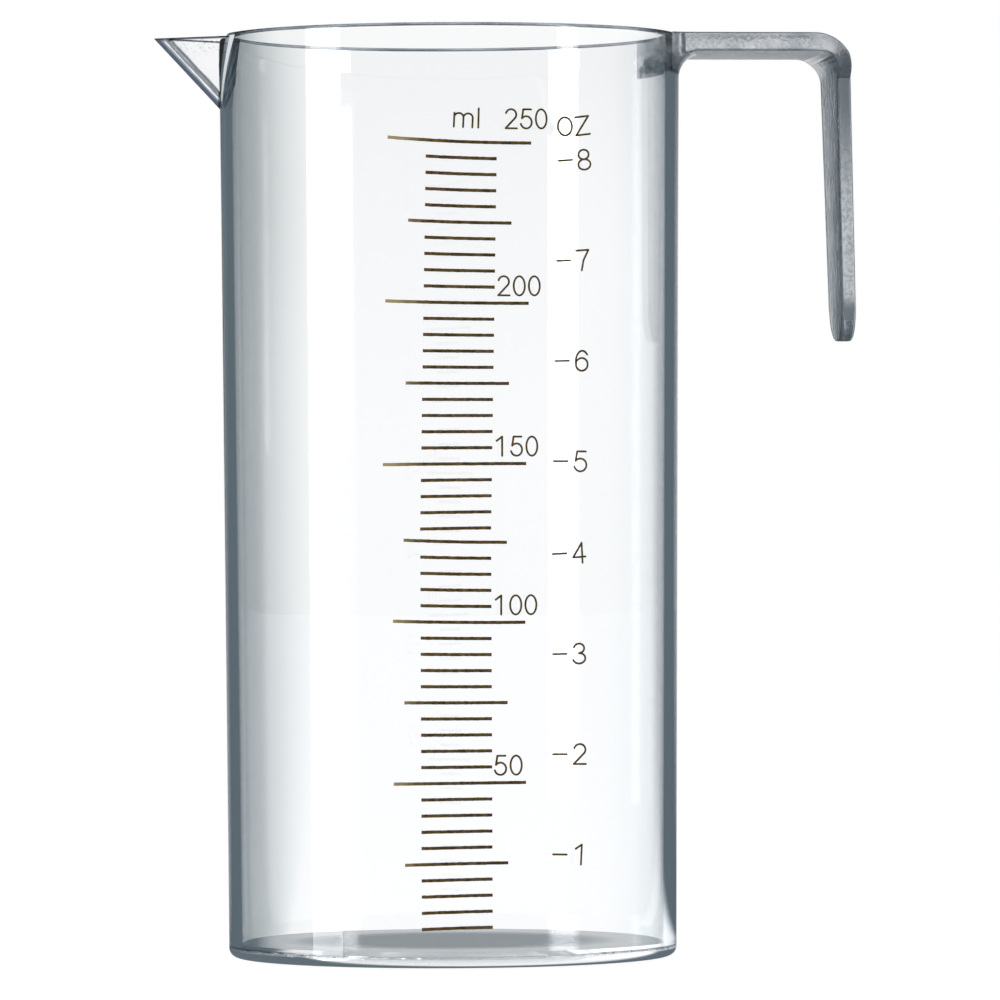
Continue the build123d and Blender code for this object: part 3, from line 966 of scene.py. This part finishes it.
class MakeStudio(bpy.types.Operator):
    """Set up the floor, the world, the lights and the camera"""

    bl_idname = "mixing_cup.studio"
    bl_label = "Studio"

    def execute(self, context):
        look = context.scene.studio_look
        self.make_world(look)
        self.make_floor(look)
        add_area_light(
            "strip_light", azimuth=math.radians(-72), distance=0.7, height=0.05,
            size=(0.22, 0.9), power=look.strip_power, color=(0.92, 0.96, 1.0))
        add_area_light(
            "side_light", azimuth=math.radians(55), distance=0.7, height=0.33,
            size=(0.115, 0.5), power=look.side_power)
        self.make_camera(context)
        return {"FINISHED"}

    def make_world(self, look):
        world = bpy.data.worlds.new("studio_world")
        bpy.context.scene.world = world
        world.use_nodes = True
        world.node_tree.nodes.clear()
        tree = Tree(world.node_tree.nodes, world.node_tree.links)
        direction = tree.add("ShaderNodeTexCoord").outputs["Generated"]
        color, _ = studio_color(tree, look, direction, look.background)
        glow = tree.add("ShaderNodeBackground", {"Color": color})
        tree.add("ShaderNodeOutputWorld", {"Surface": glow.outputs[0]})

    def make_floor(self, look):
        """Floor that glows as the studio does, seen from the cup's left wall, and takes shadows."""
        wall_distance = 0.023
        floor_radius = 3.0
        floor_drop = 0.0002
        floor_material, tree = new_material("studio_floor")
        # Seen through the cup, the floor shows the dark flag's greys behind the cup, as from the
        # cup's left wall: painted shade
        to_wall = Vector((-math.cos(view_azimuth), -math.sin(view_azimuth), 0)) * wall_distance
        from_wall = tree.vector_math("SUBTRACT", tree.object_place(), to_wall)[0]
        direction = tree.vector_math("NORMALIZE", from_wall)[0]
        color, seen = studio_color(tree, look, direction, look.floor)
        matt = tree.add("ShaderNodeBsdfDiffuse", {
            "Color": tree.mix(seen, (0, 0, 0, 1), (0.2, 0.2, 0.2, 1))})
        glow = tree.add("ShaderNodeEmission", {"Color": color})
        both = tree.add("ShaderNodeAddShader", {0: matt.outputs[0], 1: glow.outputs[0]})
        tree.add("ShaderNodeOutputMaterial", {"Surface": both.outputs[0]})
        shape = bmesh.new()
        bmesh.ops.create_circle(shape, cap_ends=True, segments=128, radius=floor_radius,
                                matrix=Matrix.Translation((0, 0, -floor_drop)))
        mesh = bpy.data.meshes.new("studio_floor")
        shape.to_mesh(mesh)
        shape.free()
        mesh.materials.append(floor_material)
        floor = new_object("studio_floor", mesh)
        floor.visible_glossy = False

    def make_camera(self, context):
        data = bpy.data.cameras.new("camera")
        data.sensor_width = sensor_width
        data.lens = sensor_width * eye_distance / (photo_side_px * metres_per_px)
        camera = new_object("camera", data)
        back = Vector((math.sin(view_azimuth), -math.cos(view_azimuth), 0))
        right = Vector((math.cos(view_azimuth), math.sin(view_azimuth), 0))
        across = (photo_side_px / 2 - axis_px) * metres_per_px
        camera.location = back * eye_distance + right * across + Vector((0, 0, eye_height))
        turn = Matrix.Rotation(view_azimuth, 3, "Z") @ Matrix.Rotation(math.radians(90), 3, "X")
        camera.rotation_euler = (turn @ Matrix.Rotation(-roll, 3, "Z")).to_euler()
        context.scene.camera = camera
        context.scene.view_settings.view_transform = "Standard"


class CupPanel(bpy.types.Panel):
    """Sizes and steps of the mixing cup"""

    bl_idname = "MIXING_CUP_PT_panel"
    bl_label = "Mixing Cup"
    bl_space_type = "VIEW_3D"
    bl_region_type = "UI"
    bl_category = "Mixing Cup"

    def draw(self, context):
        for name, kind in groups.items():
            box = self.layout.box()
            for label in kind.__annotations__:
                box.prop(getattr(context.scene, name), label)
        for step in steps:
            self.layout.operator(step.bl_idname)


steps = (MakeBarrel, MakeBase, MakeSpout, MakeHandle, PrintScale, MakeStudio)
groups = {
    "cup_sizes": CupSizes, "print_sizes": PrintSizes, "finish_colors": FinishColors,
    "studio_look": StudioLook}


def register():
    for made in (*groups.values(), *steps, CupPanel):
        bpy.utils.register_class(made)
    for name, group in groups.items():
        setattr(bpy.types.Scene, name, PointerProperty(type=group))


def unregister():
    for name in groups:
        delattr(bpy.types.Scene, name)
    for made in reversed((*groups.values(), *steps, CupPanel)):
        bpy.utils.unregister_class(made)


def main():
    register()
    for step in steps:
        module, name = step.bl_idname.split(".")
        getattr(getattr(bpy.ops, module), name)()


if __name__ == "__main__":
    main()
